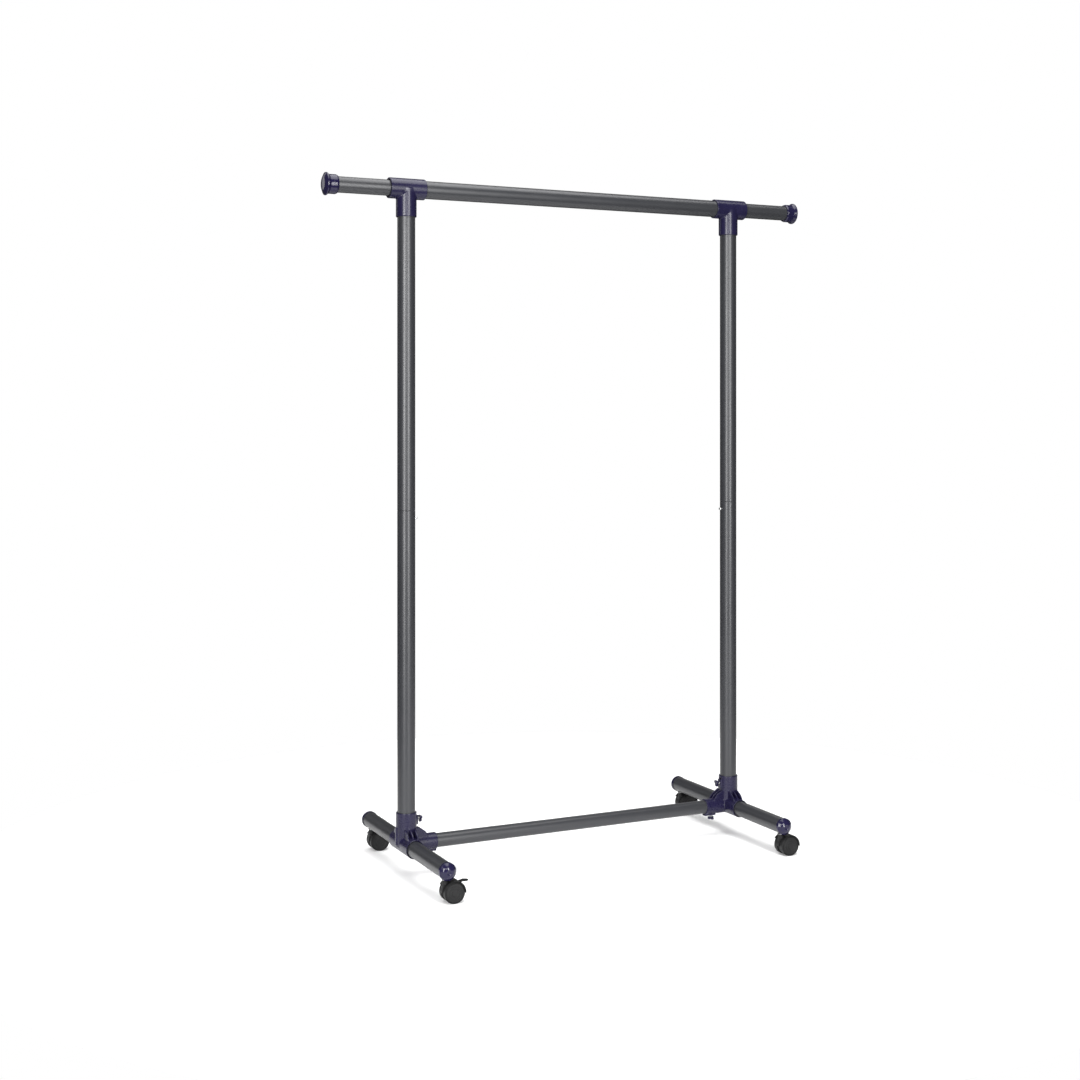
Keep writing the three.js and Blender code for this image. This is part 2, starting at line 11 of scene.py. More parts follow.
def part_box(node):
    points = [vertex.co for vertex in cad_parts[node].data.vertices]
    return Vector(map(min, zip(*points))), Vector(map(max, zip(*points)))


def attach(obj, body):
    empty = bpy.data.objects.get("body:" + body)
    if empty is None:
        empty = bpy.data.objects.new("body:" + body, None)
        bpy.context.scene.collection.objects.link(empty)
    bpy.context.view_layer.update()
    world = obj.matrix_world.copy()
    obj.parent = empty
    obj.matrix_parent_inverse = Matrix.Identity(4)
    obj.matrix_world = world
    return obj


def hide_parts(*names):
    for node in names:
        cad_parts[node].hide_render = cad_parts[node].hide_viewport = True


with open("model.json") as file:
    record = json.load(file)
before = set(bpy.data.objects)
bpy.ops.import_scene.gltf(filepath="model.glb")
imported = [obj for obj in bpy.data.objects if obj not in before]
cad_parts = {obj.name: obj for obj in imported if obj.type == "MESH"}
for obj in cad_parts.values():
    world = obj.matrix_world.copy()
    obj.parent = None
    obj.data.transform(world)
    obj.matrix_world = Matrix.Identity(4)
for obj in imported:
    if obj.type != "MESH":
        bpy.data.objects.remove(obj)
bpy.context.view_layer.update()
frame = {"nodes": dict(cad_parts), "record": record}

# ---------------------------------------------------------------- measures of the frame

X, Y, Z = 0, 1, 2
MM = 0.001
SIDES = {"left": 0.0, "right": math.pi}         # turn of each side's pieces about the middle
CORNERS = {
    "front_left": (-1, -1), "front_right": (1, -1),
    "rear_left": (-1, 1), "rear_right": (1, 1),
}
BRAKED = ("front_left", "rear_right")


def low(node, axis):
    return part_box(node)[0][axis] / MM


def high(node, axis):
    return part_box(node)[1][axis] / MM


def middle(node, axis):
    return (low(node, axis) + high(node, axis)) / 2


def half(node, axis):
    return (high(node, axis) - low(node, axis)) / 2


# The shapes below are worked out in millimetres, in a side's or a piece's own place.
POST_R = half("lower_post_left", Y)
SLIM_R = half("rail_extension_left", Y)
BAR_R = half("crossbar", Y)
POST_X = middle("lower_post_left", X)
RAIL_Z = middle("main_rail", Z)
LEG_Z = middle("crossbar", Z)
SEAM_Z = high("lower_post_left", Z)
GAP = 0.3
WALL = 1.0
TEE_R = half("tee_left", Y)
TEE_HALF = half("tee_left", X)
TEE_DROP = RAIL_Z - low("tee_left", Z)
SLEEVE_HALF = half("base_connector_left", Y)
SLEEVE_R = SLIM_R + TEE_R - POST_R
LEG_END_HALF = half("leg_left", Y)
LEG_END = low("leg_left", Y)
SOCKET_TOP = high("base_connector_left", Z) - LEG_Z
BAR_MOUTH = high("base_connector_left", X) - POST_X
BAR_SOCKET_R = BAR_R + 2.7
POST_SCREW_Z = middle("post_nut_left", Z) - LEG_Z
BAR_SCREW_X = middle("crossbar_nut_left", X) - POST_X
AXLE_X = middle("wheel_outer_front_left", X)
AXLE_Z = middle("wheel_outer_front_left", Z)
STEM_X = middle("caster_stem_front_left", X)
STEM_Y = -middle("caster_stem_front_left", Y)
TRAIL = AXLE_X - STEM_X
WHEEL_R = AXLE_Z
WHEEL_OUT = half("caster_hood_front_left", Y)
WHEEL_WIDTH = 2 * half("wheel_outer_front_left", Y)
WHEEL_IN = WHEEL_OUT - WHEEL_WIDTH
HOOD_R = high("caster_hood_front_left", X) - AXLE_X
HOOD_TOP = high("caster_hood_front_left", Z) - AXLE_Z
BUTTON_R = 3.4
BUTTON_DROP = 17                                # button's middle below the seam
BUTTON_Z = SEAM_Z + GAP - BUTTON_DROP
BUTTON_LOOPS = (BUTTON_Z - 8, BUTTON_Z + 8)     # loops on the posts above and below the button's hole
BUTTON_HOLE_R = BUTTON_R + 0.8
SOCKET_HOLE_R = 5.3                             # hole in a leg for a stem socket
TUBE_SIDES = 128
FITTING_SIDES = 96
SMALL_SIDES = 48
MESH_CELL = 0.85                                # grid of the large mouldings
SMOOTH_ANGLE = math.radians(32)                 # a turned shape's sharper edges stay sharp

BODY_OF = {n: b for b, nodes in frame["record"]["behaviour"]["bodies"].items() for n in nodes}
SLOT_OF = {s["node"]: s["material_slot"] for s in frame["record"]["subparts"]}

# ---------------------------------------------------------------- materials


def node_tree(name):
    """New material with its nodes, its links and its main shader."""
    material = bpy.data.materials.new(name)
    material.use_nodes = True
    nodes = material.node_tree.nodes
    return material, nodes, material.node_tree.links, nodes["Principled BSDF"]


def noise(nodes, links, scale, detail=3.0, stretch=(1, 1, 1)):
    """Noise pattern in the object's own coordinates, features about 1 / scale metres."""
    place = nodes.new("ShaderNodeTexCoord")
    mapping = nodes.new("ShaderNodeMapping")
    mapping.inputs["Scale"].default_value = stretch
    pattern = nodes.new("ShaderNodeTexNoise")
    pattern.inputs["Scale"].default_value = scale
    pattern.inputs["Detail"].default_value = detail
    links.new(place.outputs["Object"], mapping.inputs["Vector"])
    links.new(mapping.outputs["Vector"], pattern.inputs["Vector"])
    return pattern.outputs["Fac"]


def spread(nodes, links, value, to_low, to_high):
    """Maps a noise value, most of it between 0.3 and 0.7, to a range."""
    ranged = nodes.new("ShaderNodeMapRange")
    ranged.inputs["From Min"].default_value = 0.3
    ranged.inputs["From Max"].default_value = 0.7
    ranged.inputs["To Min"].default_value = to_low
    ranged.inputs["To Max"].default_value = to_high
    links.new(value, ranged.inputs["Value"])
    return ranged.outputs["Result"]


def blended(nodes, links, value, dark, light):
    """Colour between dark and light by a noise value."""
    ramp = nodes.new("ShaderNodeValToRGB")
    ramp.color_ramp.elements[0].position = 0.3
    ramp.color_ramp.elements[0].color = (*dark, 1)
    ramp.color_ramp.elements[1].position = 0.7
    ramp.color_ramp.elements[1].color = (*light, 1)
    links.new(value, ramp.inputs["Fac"])
    return ramp.outputs["Color"]


def bumped(nodes, links, shader, layers):
    """Stacks bump layers of (height, strength, depth in metres) on the shader's normal."""
    last = None
    for height, strength, depth in layers:
        bump = nodes.new("ShaderNodeBump")
        bump.inputs["Strength"].default_value = strength
        bump.inputs["Distance"].default_value = depth
        links.new(height, bump.inputs["Height"])
        if last:
            links.new(last, bump.inputs["Normal"])
        last = bump.outputs["Normal"]
    links.new(last, shader.inputs["Normal"])


def powder_coat():
    """Dark grey satin powder coat: orange peel, fine metallic fleck and uneven sheen."""
    material, nodes, links, shader = node_tree("powder_coat")
    peel = noise(nodes, links, 800, 2)
    fleck = noise(nodes, links, 2600, 1)
    cloud = noise(nodes, links, 14, 4)
    colour = blended(nodes, links, fleck, (0.0190, 0.0197, 0.0225), (0.0235, 0.0243, 0.0275))
    links.new(colour, shader.inputs["Base Color"])
    links.new(spread(nodes, links, cloud, 0.34, 0.39), shader.inputs["Roughness"])
    shader.inputs["Metallic"].default_value = 0.1
    shader.inputs["Specular IOR Level"].default_value = 0.5
    bumped(nodes, links, shader, [(peel, 0.03, 0.0002)])
    return material


def moulded_navy(name, rough):
    """Dark navy plastic with faint flow marks and a little haze."""
    material, nodes, links, shader = node_tree(name)
    flow = noise(nodes, links, 60, 4, (1, 1, 0.35))
    haze = noise(nodes, links, 320, 3)
    colour = blended(nodes, links, flow, (0.0062, 0.0050, 0.0215), (0.0095, 0.0078, 0.0290))
    links.new(colour, shader.inputs["Base Color"])
    links.new(spread(nodes, links, haze, rough, rough + 0.07), shader.inputs["Roughness"])
    shader.inputs["Specular IOR Level"].default_value = 0.3
    bumped(nodes, links, shader, [(flow, 0.03, 0.0004), (haze, 0.01, 0.0002)])
    return material


def moulded_satin(name, dark, light, rough):
    """Satin black plastic with a fine spark-eroded grain."""
    material, nodes, links, shader = node_tree(name)
    grain = noise(nodes, links, 1500, 2)
    cloud = noise(nodes, links, 90, 4)
    links.new(blended(nodes, links, cloud, dark, light), shader.inputs["Base Color"])
    links.new(spread(nodes, links, cloud, rough, rough + 0.12), shader.inputs["Roughness"])
    shader.inputs["Specular IOR Level"].default_value = 0.2
    bumped(nodes, links, shader, [(grain, 0.22, 0.0002)])
    return material


def zinc_plate():
    """Bright zinc plating with fine drawn lines."""
    material, nodes, links, shader = node_tree("zinc_plate")
    lines = noise(nodes, links, 900, 2, (1, 1, 0.08))
    cloud = noise(nodes, links, 120, 4)
    colour = blended(nodes, links, cloud, (0.50, 0.51, 0.52), (0.66, 0.66, 0.64))
    links.new(colour, shader.inputs["Base Color"])
    links.new(spread(nodes, links, lines, 0.22, 0.40), shader.inputs["Roughness"])
    shader.inputs["Metallic"].default_value = 1.0
    bumped(nodes, links, shader, [(lines, 0.10, 0.0001)])
    return material


def polyethylene():
    """Waxy natural white plastic."""
    material, nodes, links, shader = node_tree("polyethylene")
    cloud = noise(nodes, links, 70, 4)
    colour = blended(nodes, links, cloud, (0.58, 0.58, 0.53), (0.68, 0.68, 0.63))
    links.new(colour, shader.inputs["Base Color"])
    links.new(spread(nodes, links, cloud, 0.42, 0.55), shader.inputs["Roughness"])
    shader.inputs["Subsurface Weight"].default_value = 0.2
    shader.inputs["Subsurface Scale"].default_value = 0.003
    bumped(nodes, links, shader, [(cloud, 0.08, 0.0004)])
    return material


FINISH = {
    "tube_coating": powder_coat(),
    "connector_plastic": moulded_navy("connector_navy", 0.25),
    "caster_plastic": moulded_satin("caster_black", (0.004, 0.004, 0.0043), (0.008, 0.008, 0.0084), 0.40),
    "wheel_plastic": moulded_satin("wheel_black", (0.005, 0.005, 0.0053), (0.010, 0.010, 0.0104), 0.42),
    "zinc_steel": zinc_plate(),
    "glide_plastic": polyethylene(),
}
CAP_GLOSS = moulded_navy("cap_navy", 0.13)

# ---------------------------------------------------------------- turned shapes


def rounded(corners, steps=6):
    """Outline with its corners rounded. A corner is (radius, height) or (radius, height, rounding).
    A point just past each arc keeps smooth shading flat on the straight stretches."""
    outline = []
    count = len(corners)
    for i, corner in enumerate(corners):
        here = Vector(corner[:2])
        rounding = corner[2] if len(corner) > 2 else 0
        if not rounding:
            outline.append(tuple(here))
            continue
        before = (Vector(corners[i - 1][:2]) - here).normalized()
        after = (Vector(corners[(i + 1) % count][:2]) - here).normalized()
        angle = before.angle(after)
        reach = rounding / math.tan(angle / 2)
        centre = here + (before + after).normalized() * (rounding / math.sin(angle / 2))
        start = here + before * reach - centre
        turn = start.angle_signed(here + after * reach - centre)
        outline.append(tuple(here + before * reach * 1.25))
        for k in range(steps + 1):
            outline.append(tuple(centre + Matrix.Rotation(-turn * k / steps, 2) @ start))
        outline.append(tuple(here + after * reach * 1.25))
    return outline


def turned(corners, sides=TUBE_SIDES):
    """Mesh turned about +Z from an outline listed from the bottom up the outside, in millimetres.
    An outline that starts and ends on the axis closes there, and any other closes on itself."""
    outline = rounded(corners)
    on_axis = outline[0][0] == 0
    points, rings = [], []
    for r, h in outline:
        if r == 0:
            rings.append([len(points)] * sides)
            points.append((0, 0, h))
            continue
        rings.append(list(range(len(points), len(points) + sides)))
        angles = 2 * math.pi * np.arange(sides) / sides
        points.extend(zip(r * np.cos(angles), r * np.sin(angles), [h] * sides))
    if not on_axis:
        rings.append(rings[0])
    faces = []
    for lower, upper in zip(rings, rings[1:]):
        for k in range(sides):
            n = (k + 1) % sides
            face = [lower[k], lower[n], upper[n], upper[k]]
            unique = list(dict.fromkeys(face))
            if len(unique) > 2:
                faces.append(unique)
    return np.array(points, float), faces, None


# ---------------------------------------------------------------- moulded shapes as distance fields


def either(a, b, fillet):
    """Union of two distance fields with a round fillet."""
    corner = np.hypot(np.maximum(fillet - a, 0), np.maximum(fillet - b, 0))
    return np.maximum(fillet, np.minimum(a, b)) - corner


def both(a, b, rounding):
    """Intersection of two distance fields with a rounded edge."""
    corner = np.hypot(np.maximum(rounding + a, 0), np.maximum(rounding + b, 0))
    return np.minimum(-rounding, np.maximum(a, b)) + corner


def without(a, b, rounding=0.35):
    return both(a, -b, rounding)


def between(value, start, end):
    return np.maximum(start - value, value - end)


def rod(across, over, along, radius, start, end, rounding=0.6):
    """Rod round the line where across and over are 0."""
    return both(np.hypot(across, over) - radius, between(along, start, end), rounding)


def block(x, y, z, start, end, rounding=0.8):
    sides = both(between(x, start[0], end[0]), between(y, start[1], end[1]), rounding)
    return both(sides, between(z, start[2], end[2]), rounding)


def netted(field, start, end, cell):
    """Mesh of a field's zero level: one vertex in each grid cell that it crosses, moved onto the
    level, and one quad round each grid edge that it crosses. Normals come from the field."""
    start = np.array(start, float) - 2 * cell
    counts = np.ceil((np.array(end, float) + 2 * cell - start) / cell).astype(int) + 1
    lines = [start[i] + cell * np.arange(counts[i]) for i in range(3)]
    values = field(*np.meshgrid(*lines, indexing="ij"))
    inside = values < 0
    filled = sum(
        inside[a:counts[0] - 1 + a, b:counts[1] - 1 + b, c:counts[2] - 1 + c].astype(np.int8)
        for a in (0, 1) for b in (0, 1) for c in (0, 1)
    )
    crossed = (filled > 0) & (filled < 8)
    cells = np.argwhere(crossed)
    index = np.full(crossed.shape, -1)
    index[crossed] = np.arange(len(cells))
    unit = np.eye(3, dtype=int)

    total = np.zeros((len(cells), 3))
    hits = np.zeros(len(cells))
    faces = []
    for axis in range(3):
        u, v = unit[(axis + 1) % 3], unit[(axis + 2) % 3]
        for p in (0, 1):
            for q in (0, 1):
                near = cells + p * u + q * v
                a = values[tuple(near.T)]
                b = values[tuple((near + unit[axis]).T)]
                cut = (a < 0) != (b < 0)
                share = a / np.where(cut, a - b, 1)
                total += (near + share[:, None] * unit[axis]) * cut[:, None]
                hits += cut
        front = tuple(slice(0, n - 1) if i == axis else slice(None) for i, n in enumerate(counts))
        back = tuple(slice(1, n) if i == axis else slice(None) for i, n in enumerate(counts))
        edges = np.argwhere(inside[front] != inside[back])
        around = (edges - u - v, edges - v, edges, edges - u)
        quad = np.stack([index[tuple(cell_at.T)] for cell_at in around], axis=1)
        outward = inside[tuple(edges.T)]
        quad[~outward] = quad[~outward][:, ::-1]
        faces.append(quad)

    points = start + cell * total / hits[:, None]
    nudge = 0.02 * cell

    def slope(at):
        rise = [field(*(at + step).T) - field(*(at - step).T) for step in nudge * unit]
        return np.stack(rise, axis=1) / (2 * nudge)

    for _ in range(4):
        gradient = slope(points)
        reach = field(*points.T) / np.maximum((gradient ** 2).sum(1), 0.3)
        points -= np.clip(reach, -cell, cell)[:, None] * gradient
    normals = slope(points)
    normals /= np.maximum(np.linalg.norm(normals, axis=1), 1e-6)[:, None]
    return points, np.concatenate(faces), normals


# ---------------------------------------------------------------- placing


def facing(direction):
    """Turn that takes +Z to a direction."""
    return Vector((0, 0, 1)).rotation_difference(Vector(direction)).to_matrix().to_4x4()


def at(x, y, z):
    """Place in millimetres."""
    return Matrix.Translation((x, y, z))


def mesh_of(name, shape, place):
    """Blender mesh of a shape in millimetres, put in its place in metres."""
    points, faces, normals = shape
    matrix = np.array(Matrix.Scale(MM, 4) @ place)
    moved = points @ matrix[:3, :3].T + matrix[:3, 3]
    mesh = bpy.data.meshes.new(name)
    mesh.from_pydata(moved.tolist(), [], [list(f) for f in faces])
    mesh.polygons.foreach_set("use_smooth", [True] * len(mesh.polygons))
    mesh.update()
    if normals is None:
        mesh.set_sharp_from_angle(angle=SMOOTH_ANGLE)
    else:
        turned_normals = normals @ (matrix[:3, :3] / MM).T
        custom = mesh.attributes.new("custom_normal", "FLOAT_VECTOR", "POINT")
        custom.data.foreach_set("vector", turned_normals.ravel())
    return mesh


def piece(node, shape, place=Matrix(), name=None, slot=None):
    """Fine piece that stands for a CAD node and rides on its body."""
    title = name or f"{node}_fine"
    obj = bpy.data.objects.new(title, mesh_of(title, shape, place))
    bpy.context.scene.collection.objects.link(obj)
    slot = slot or SLOT_OF[node]
    obj.data.materials.append(CAP_GLOSS if "_cap_" in node else FINISH[slot])
    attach(obj, BODY_OF[node])
    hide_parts(node)
    return obj


def drilled(obj, radius, start, end):
    """Drills a round hole between two points in millimetres."""
    line = Vector(end) - Vector(start)
    cutter_shape = turned([(0, 0), (radius, 0), (radius, line.length), (0, line.length)], SMALL_SIDES)
    place = at(*start) @ facing(line.normalized())
    cutter = bpy.data.objects.new("cutter", mesh_of("cutter", cutter_shape, place))
    bpy.context.scene.collection.objects.link(cutter)
    cut = obj.modifiers.new("drill", "BOOLEAN")
    cut.operation = "DIFFERENCE"
    cut.solver = "EXACT"
    cut.object = cutter
    bpy.context.view_layer.update()
    graph = bpy.context.evaluated_depsgraph_get()
    mesh = bpy.data.meshes.new_from_object(obj.evaluated_get(graph))
    finish = obj.data.materials[0]
    obj.modifiers.clear()
    obj.data = mesh
    mesh.materials.clear()
    mesh.materials.append(finish)
    mesh.set_sharp_from_angle(angle=SMOOTH_ANGLE)
    bpy.data.objects.remove(cutter)


# ---------------------------------------------------------------- tubes


def tube(radius, start, end, loops=(), rim=0.3):
    """Tube with softly deburred ends, and plain loops at some heights."""
    inner = radius - WALL
    outside = [(radius, h) for h in loops]
    return turned([
        (inner, start, 0.2), (radius, start, 0.3), *outside, (radius, end, rim), (inner, end, 0.2),
    ])


def upper_post():
    """Post half with its narrower spigot below the seam."""
    spigot = POST_R - WALL - GAP
    foot, top, seam = low("upper_post_left", Z), high("upper_post_left", Z), SEAM_Z + GAP
    bore = spigot - WALL
    return turned([
        (bore, foot, 0.2), (spigot, foot, 0.3), *[(spigot, h) for h in BUTTON_LOOPS],
        (spigot, seam, 0.25), (POST_R, seam, 0.6), (POST_R, seam + 3), (POST_R, top, 0.2),
        (POST_R - WALL, top, 0.2), (POST_R - WALL, seam + 5), (bore, seam + 2),
    ])


# ---------------------------------------------------------------- rail fittings


def rail_end_cap():
    """Cap made along +Z, sleeve edge first: a bevelled sleeve that flares into a domed end."""
    length = high("rail_end_cap_left", X) - low("rail_end_cap_left", X)
    flange = half("rail_end_cap_left", Y)
    sleeve = SLIM_R + 3.5
    bore = SLIM_R + GAP
    seat = 18
    return turned([
        (bore, 0, 0.2), (sleeve - 1.3, 0, 0.4), (sleeve, 3.2, 1.0), (sleeve, 18.5, 3.0),
        (flange, 22.6, 0.9), (flange, 25.2, 1.1), (flange - 2.6, 26.4, 1.5), (15, 29.6, 12.0),
        (0, length), (0, seat), (bore, seat, 0.4),
    ])


def glide_plug():
    """Plug made along +Z, with the ribbed head that runs inside the main rail first."""
    head, bore, plug = 8, 6, SLIM_R - WALL - GAP
    rib = POST_R - WALL - 0.25
    return turned([
        (bore, 0, 0.3), (rib, 0, 0.8), (rib, 2.4, 0.3), (rib - 0.9, 3.0), (rib - 0.9, 5.0),
        (rib, 5.6, 0.3), (rib, head, 0.4), (plug, head, 0.3), (plug, head + 14, 1.2),
        (bore, head + 14, 0.3),
    ], FITTING_SIDES)


def tee_field(x, y, z):
    """Tee round the crossing of the rail's axis (x) and the post's axis (-z)."""
    bore = POST_R + GAP
    body = either(
        rod(y, z, x, TEE_R, -TEE_HALF, TEE_HALF, 1.1),
        rod(x, y, z, TEE_R, -TEE_DROP, 0, 1.1),
        1.6,
    )
    body = without(body, np.hypot(y, z) - bore, 0.6)
    return without(body, rod(x, y, z, bore, -TEE_DROP - 5, -TEE_R, 0), 0.6)


# ---------------------------------------------------------------- base connector

WEB_HALF_THICK = 1.4
WEB_OFFSETS = (-10.5, 0, 10.5)
WEB_SIZE = (45, 38.5, 12)       # reach, rise and foot
FIN_REACH = 24.4
FIN_HALF = 3
FIN_TOP = 37
BOSS_TIP = 24.6
BOSS_HALF = 6.5
BAR_BOSS_TIP = BAR_SOCKET_R + 2.8
SCREW_HOLE_R = 2.8
NUT_SEAT = 0.6                  # how far a nut's pocket stands off the tube's bore


def web(out, up, across):
    """Web with a quarter-round edge, from [0, rise] to [reach, foot]."""
    reach, rise, foot = WEB_SIZE
    climb = np.maximum(up - foot, 0)
    a, b = out / reach, climb / (rise - foot)
    level = np.sqrt(a * a + b * b + 1e-9)
    slope = np.hypot(a / reach, b / (rise - foot)) / level
    edge = (level - 1) / np.maximum(slope, 1e-3)
    outline = np.maximum(edge, np.maximum(-out, -up))
    return both(outline, np.abs(across) - WEB_HALF_THICK, 0.55)


def base_field(x, y, z):
    """Connector round the crossing of the post's axis (z), the leg's (y) and the crossbar's (+x)."""
    body = either(
        rod(x, y, z, TEE_R, -4, SOCKET_TOP, 1.0),
        rod(x, z, y, SLEEVE_R, -SLEEVE_HALF, SLEEVE_HALF, 1.0),
        2.2,
    )
    body = either(body, rod(y, z, x, BAR_SOCKET_R, 0, BAR_MOUTH, 1.0), 2.2)
    for offset in WEB_OFFSETS:
        body = either(body, web(np.abs(y), z, x - offset), 0.9)
        body = either(body, web(x, z, y - offset), 0.9)
    fin = block(x, y, z, (-FIN_REACH, -FIN_HALF, 0), (-POST_R, FIN_HALF, FIN_TOP))
    body = either(body, fin, 0.8)

    s, t = POST_SCREW_Z, BAR_SCREW_X
    post_boss = block(x, y, z, (POST_R, -BOSS_HALF, s - 12), (BOSS_TIP, BOSS_HALF, s + 8))
    bar_boss = block(x, y, z, (t - 8, -BOSS_HALF, -BAR_BOSS_TIP), (BAR_MOUTH, BOSS_HALF, -BAR_R))
    body = either(body, post_boss, 1.2)
    body = either(body, bar_boss, 1.2)

    post_bore, leg_bore, bar_bore = POST_R + GAP, SLIM_R + GAP, BAR_R + GAP
    nut, slot = 4 + GAP, 2 * half("post_nut_left", X) + 2 * GAP
    post_nut, bar_nut = post_bore + NUT_SEAT, bar_bore + NUT_SEAT
    cuts = [
        rod(x, y, z, post_bore, leg_bore + 2.7, SOCKET_TOP + 5, 0),
        np.hypot(x, z) - leg_bore - 0.4 * np.maximum(np.abs(y) - SLEEVE_HALF + 3, 0),
        rod(y, z, x, bar_bore, 24, BAR_MOUTH + 5, 0),
        rod(y, z - s, x, SCREW_HOLE_R, POST_R - 2, BOSS_TIP + 5, 0),
        rod(x - t, y, -z, SCREW_HOLE_R, BAR_R - 2, BAR_BOSS_TIP + 5, 0),
        block(x, y, z, (post_nut, -nut, s - nut), (post_nut + slot, nut, s + 12), 0.1),
        block(x, y, z, (t - nut, -nut, -bar_nut - slot), (BAR_MOUTH + 5, nut, -bar_nut), 0.1),
    ]
    for cut in cuts:
        body = without(body, cut, 0.4)
    return body


# ---------------------------------------------------------------- snap buttons and knob screws


def button_field(x, y, z):
    """Button on its leaf: x out of the post, z up from the leaf's bend."""
    spigot = POST_R - WALL - GAP
    face = spigot - WALL - 1.2
    drop = BUTTON_Z - low("snap_button_left", Z)
    tip = high("snap_button_left", X) - POST_X
    leaf = block(x, y, z, (face - 0.8, -4.5, 0), (face, 4.5, drop + 7), 0.25)
    button = rod(y, z - drop, x, BUTTON_R, face - 0.4, tip, 1.8)
    return either(leaf, button, 0.4)


KNOB_THICK = 6
KNOB_MEAN_R = 6.3
KNOB_LOBE = 2.1


def knob_field(x, y, z):
    """Three-lobed knob from z = 0 up, with a shallow dish on top."""
    angle = np.arctan2(y, x)
    lobed = np.hypot(x, y) - KNOB_MEAN_R - KNOB_LOBE * np.cos(3 * angle)
    knob = both(0.85 * lobed, between(z, 0, KNOB_THICK), 1.5)
    dish = np.sqrt(x * x + y * y + (z - KNOB_THICK - 6) ** 2) - 7
    return without(knob, dish, 0.5)


def screw_shank(length):
    """Threaded shank made along +Z, tip first."""
    crest, root, pitch = 2.5, 2.15, 0.8
    corners = [(0, 0), (root, 0, 0.3)]
    h = 0.8
    while h < length - 3:
        corners += [(crest, h), (root, h + pitch / 2)]
        h += pitch
    corners += [(crest, h, 0.1), (crest, length), (0, length)]
    return turned(corners, 32)


# ---------------------------------------------------------------- leg ends


def leg_cap():
    """Domed cap made about +Z, with the tube end at z = 0 and a small dimple in its middle."""
    outer = half("leg_cap_front_left", X)
    dome = LEG_END - low("leg_cap_front_left", Y)
    skirt = high("leg_cap_front_left", Y) - LEG_END
    bore = SLIM_R + GAP
    return turned([
        (bore, -skirt, 0.15), (outer, -skirt, 0.3), (outer, 2.2, 1.6), (12, dome - 2.6, 14.0),
        (5.6, dome - 0.2, 1.2), (3.2, dome - 1.6, 1.2), (0, dome - 1.8), (0, GAP), (bore, GAP, 0.2),
    ], FITTING_SIDES)


# ---------------------------------------------------------------- casters

STEM_R = 3.5
COLLAR_R = 6.5
WEB_HALF = 5
WEB_R = 19.5
SKIN = 1.4
PIVOT = (15, 37 - AXLE_Z)
LEVER_HALF = 2.6


def sector(x, z, start, end):
    """Wedge between two angles in degrees, less than half a turn apart."""
    a, b = math.radians(start), math.radians(end)
    return np.maximum(x * math.sin(a) - z * math.cos(a), z * math.cos(b) - x * math.sin(b))


def hood_field(x, y, z, braked):
    """Hood about the axle: a skin over both treads, a disc between the wheels and a stem boss."""
    r = np.hypot(x, z)
    outside = r - HOOD_R
    skin = both(np.maximum(outside, HOOD_R - SKIN - r), sector(x, z, -5, 148), 0.5)
    skin = both(skin, np.abs(y) - WHEEL_OUT, 0.5)
    disc = both(r - WEB_R, np.abs(y) - WEB_HALF, 0.8)
    shoulder = both(np.maximum(outside + 0.5, -1 - z), np.abs(y) - WEB_HALF, 0.6)
    neck = block(x, y, z, (-TRAIL - COLLAR_R + 0.5, -WEB_HALF, -1), (-8, WEB_HALF, 14), 1.0)
    body = either(either(skin, disc, 0.3), either(shoulder, neck, 0.8), 0.3)
    boss = rod(x + TRAIL, y, z, COLLAR_R, 8, HOOD_TOP, 0.5)
    body = either(body, boss, 0.9)
    room = np.maximum(r - WHEEL_R - 0.9, WHEEL_IN - GAP - np.abs(y))
    body = without(body, room, 0.3)
    body = without(body, rod(x + TRAIL, y, z, STEM_R + GAP, 1.8, HOOD_TOP + 5, 0), 0.3)
    body = without(body, rod(x, z, y, 3.3, -WEB_HALF - 5, WEB_HALF + 5, 0), 0.3)
    if braked:
        slot = LEVER_HALF + GAP
        body = without(body, block(x, y, z, (8.5, -slot, 7), (HOOD_R + 5, slot, HOOD_R + 5), 0.1), 0.3)
        body = without(body, rod(x - PIVOT[0], z - PIVOT[1], y, 1.9, -4.4, 4.4, 0), 0.1)
    return body


def lever_field(x, y, z):
    """Brake lever about the axle: an arm in the web, two trunnions and a leaf-shaped paddle."""
    centre, reach, side = 26, 9, 8
    foot, thick = 18.2, 2.4
    a = (x - centre) / reach
    b = y / side
    leaf = (np.abs(a) ** 1.6 + np.abs(b) ** 1.6 + 1e-9) ** (1 / 1.6) - 1
    paddle = both(leaf * side * 0.8, between(z, foot, foot + thick), 1.0)
    along = (x - PIVOT[0]) * 0.62 + (z - PIVOT[1]) * 0.78
    across = (x - PIVOT[0]) * 0.78 - (z - PIVOT[1]) * 0.62
    arm = both(between(along, -5, 6), between(across, -3.4, 3.4), 1.0)
    arm = both(arm, np.abs(y) - LEVER_HALF, 0.5)
    arm = np.maximum(arm, z - foot - thick)
    trunnions = rod(x - PIVOT[0], z - PIVOT[1], y, 1.6, -4.1, 4.1, 0.2)
    return either(either(arm, paddle, 1.0), trunnions, 0.3)


def stem():
    foot, top = low("caster_stem_front_left", Z), high("caster_stem_front_left", Z)
    collar = AXLE_Z + HOOD_TOP + GAP
    thick = 0.6
    return turned([
        (0, foot), (STEM_R, foot, 0.5), (STEM_R, collar, 0.1), (COLLAR_R, collar, 0.15),
        (COLLAR_R, collar + thick, 0.15), (STEM_R, collar + thick, 0.1), (STEM_R, top - 6),
        (STEM_R - 0.5, top - 5, 0.2), (STEM_R - 0.5, top - 4, 0.2), (STEM_R, top - 3, 0.3),
        (STEM_R - 1, top, 0.4), (0, top),
    ], SMALL_SIDES)


